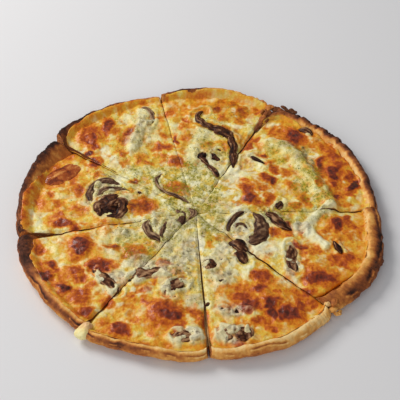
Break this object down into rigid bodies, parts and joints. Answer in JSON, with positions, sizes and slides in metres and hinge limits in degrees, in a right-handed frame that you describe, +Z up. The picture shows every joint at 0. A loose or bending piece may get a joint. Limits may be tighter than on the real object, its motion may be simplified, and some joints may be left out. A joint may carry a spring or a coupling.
{
  "type": "beef pizza",
  "caption": "Round thin-crust pizza with melted browned cheese, beef, mushrooms and herbs, cut into slices that lie together.",
  "frame": {"origin": "centre of the flat underside, below the middle of the pizza's box", "axes": "+Z up through the cheese; +X to the right and +Y away from a viewer who stands at the widest cut"},
  "size_m": [0.3058, 0.3052, 0.0176],
  "materials": {
    "baked_crust": "baked dough, golden on the crest and inner wall, brown to charred outside and along thin edges",
    "melted_cheese": "melted cheese, cream to yellow, with orange and red-brown browned blisters and a dull oily gloss",
    "cooked_beef": "dark purple-brown cooked beef, fibrous, slightly glossy",
    "cooked_mushroom": "cooked mushroom slice, grey-brown with a darker skin",
    "baked_tomato": "baked tomato, orange-red, smooth and oily",
    "cream_cheese": "cream-white melted cheese, smooth"
  },
  "bodies": {
    "root": {"crust_north_east": "baked_crust", "crust_north": "baked_crust", "crust_north_west": "baked_crust", "crust_west": "baked_crust", "crust_south_west": "baked_crust", "crust_south": "baked_crust", "crust_south_east": "baked_crust", "crust_east": "baked_crust", "cheese_north_east": "melted_cheese", "cheese_north": "melted_cheese", "cheese_north_west": "melted_cheese", "cheese_west": "melted_cheese", "cheese_south_west": "melted_cheese", "cheese_south": "melted_cheese", "cheese_south_east": "melted_cheese", "cheese_east": "melted_cheese", "beef_long_upper": "cooked_beef", "beef_long_lower": "cooked_beef", "beef_north_hook": "cooked_beef", "beef_rim_arc": "cooked_beef", "beef_inner_streak": "cooked_beef", "beef_cut_tip": "cooked_beef", "beef_cut_strip": "cooked_beef", "beef_upright": "cooked_beef", "beef_pepper_dark": "cooked_beef", "beef_dark_strip": "cooked_beef", "beef_brown_strip": "cooked_beef", "beef_left_streak": "cooked_beef", "beef_south_ridge": "cooked_beef", "beef_south_hook": "cooked_beef", "beef_north_bits": "cooked_beef", "beef_north_fleck": "cooked_beef", "beef_large": "cooked_beef", "beef_grey_chunk": "cooked_beef", "beef_round": "cooked_beef", "beef_rim_dark": "cooked_beef", "beef_rim_pale": "cooked_beef", "beef_rim_south": "cooked_beef", "mushroom_dark": "cooked_mushroom", "mushroom_arc": "cooked_mushroom", "mushroom_upper": "cooked_mushroom", "mushroom_middle": "cooked_mushroom", "mushroom_heart": "cooked_mushroom", "mushroom_inner": "cooked_mushroom", "tomato_slice": "baked_tomato", "cheese_drip": "cream_cheese"}
  },
  "joints": []
}
